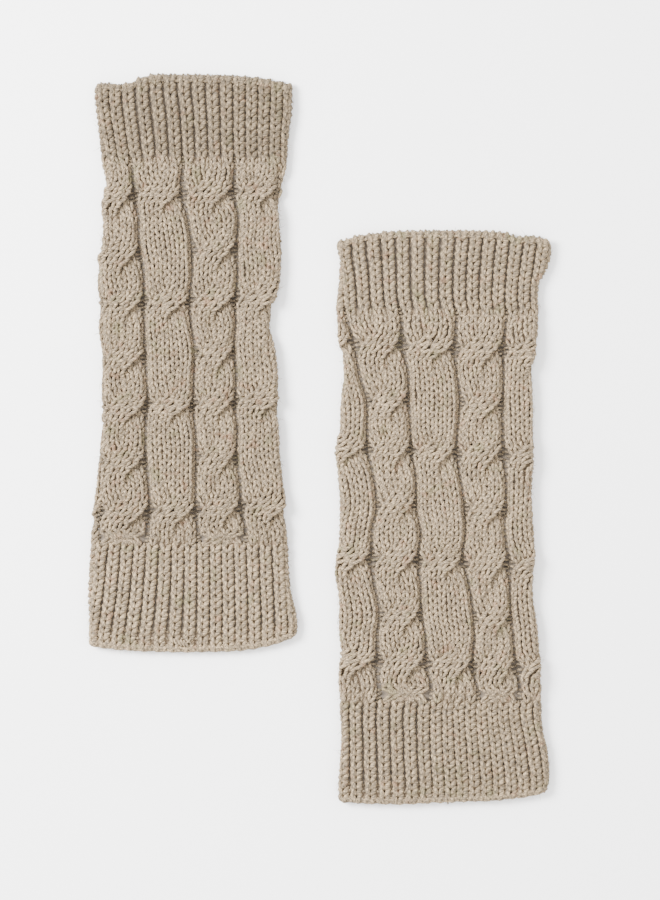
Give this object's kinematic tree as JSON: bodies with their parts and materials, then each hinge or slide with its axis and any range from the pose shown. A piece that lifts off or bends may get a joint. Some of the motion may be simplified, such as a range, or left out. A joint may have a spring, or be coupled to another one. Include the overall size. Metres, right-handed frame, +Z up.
{
  "type": "leg warmers",
  "caption": "Pair of long cable-knit leg warmers with ribbed cuffs, laid flat side by side as they lie when stored.",
  "frame": {"origin": "middle of the pair's outline, on the surface that it lies on", "axes": "+Y along the warmers, towards their top cuffs; +X towards the right warmer; +Z up, out of the front face"},
  "size_m": [0.3228, 0.5088, 0.012],
  "materials": {
    "left_top_cuff": "heathered beige yarn, ribbed knit",
    "left_leg": "heathered beige yarn, cabled knit",
    "left_bottom_cuff": "heathered beige yarn, ribbed knit",
    "right_top_cuff": "heathered beige yarn, ribbed knit",
    "right_leg": "heathered beige yarn, cabled knit",
    "right_bottom_cuff": "heathered beige yarn, ribbed knit"
  },
  "bodies": {
    "root": {"left_top_cuff": "left_top_cuff", "left_leg": "left_leg", "left_bottom_cuff": "left_bottom_cuff", "right_top_cuff": "right_top_cuff", "right_leg": "right_leg", "right_bottom_cuff": "right_bottom_cuff"}
  },
  "joints": []
}
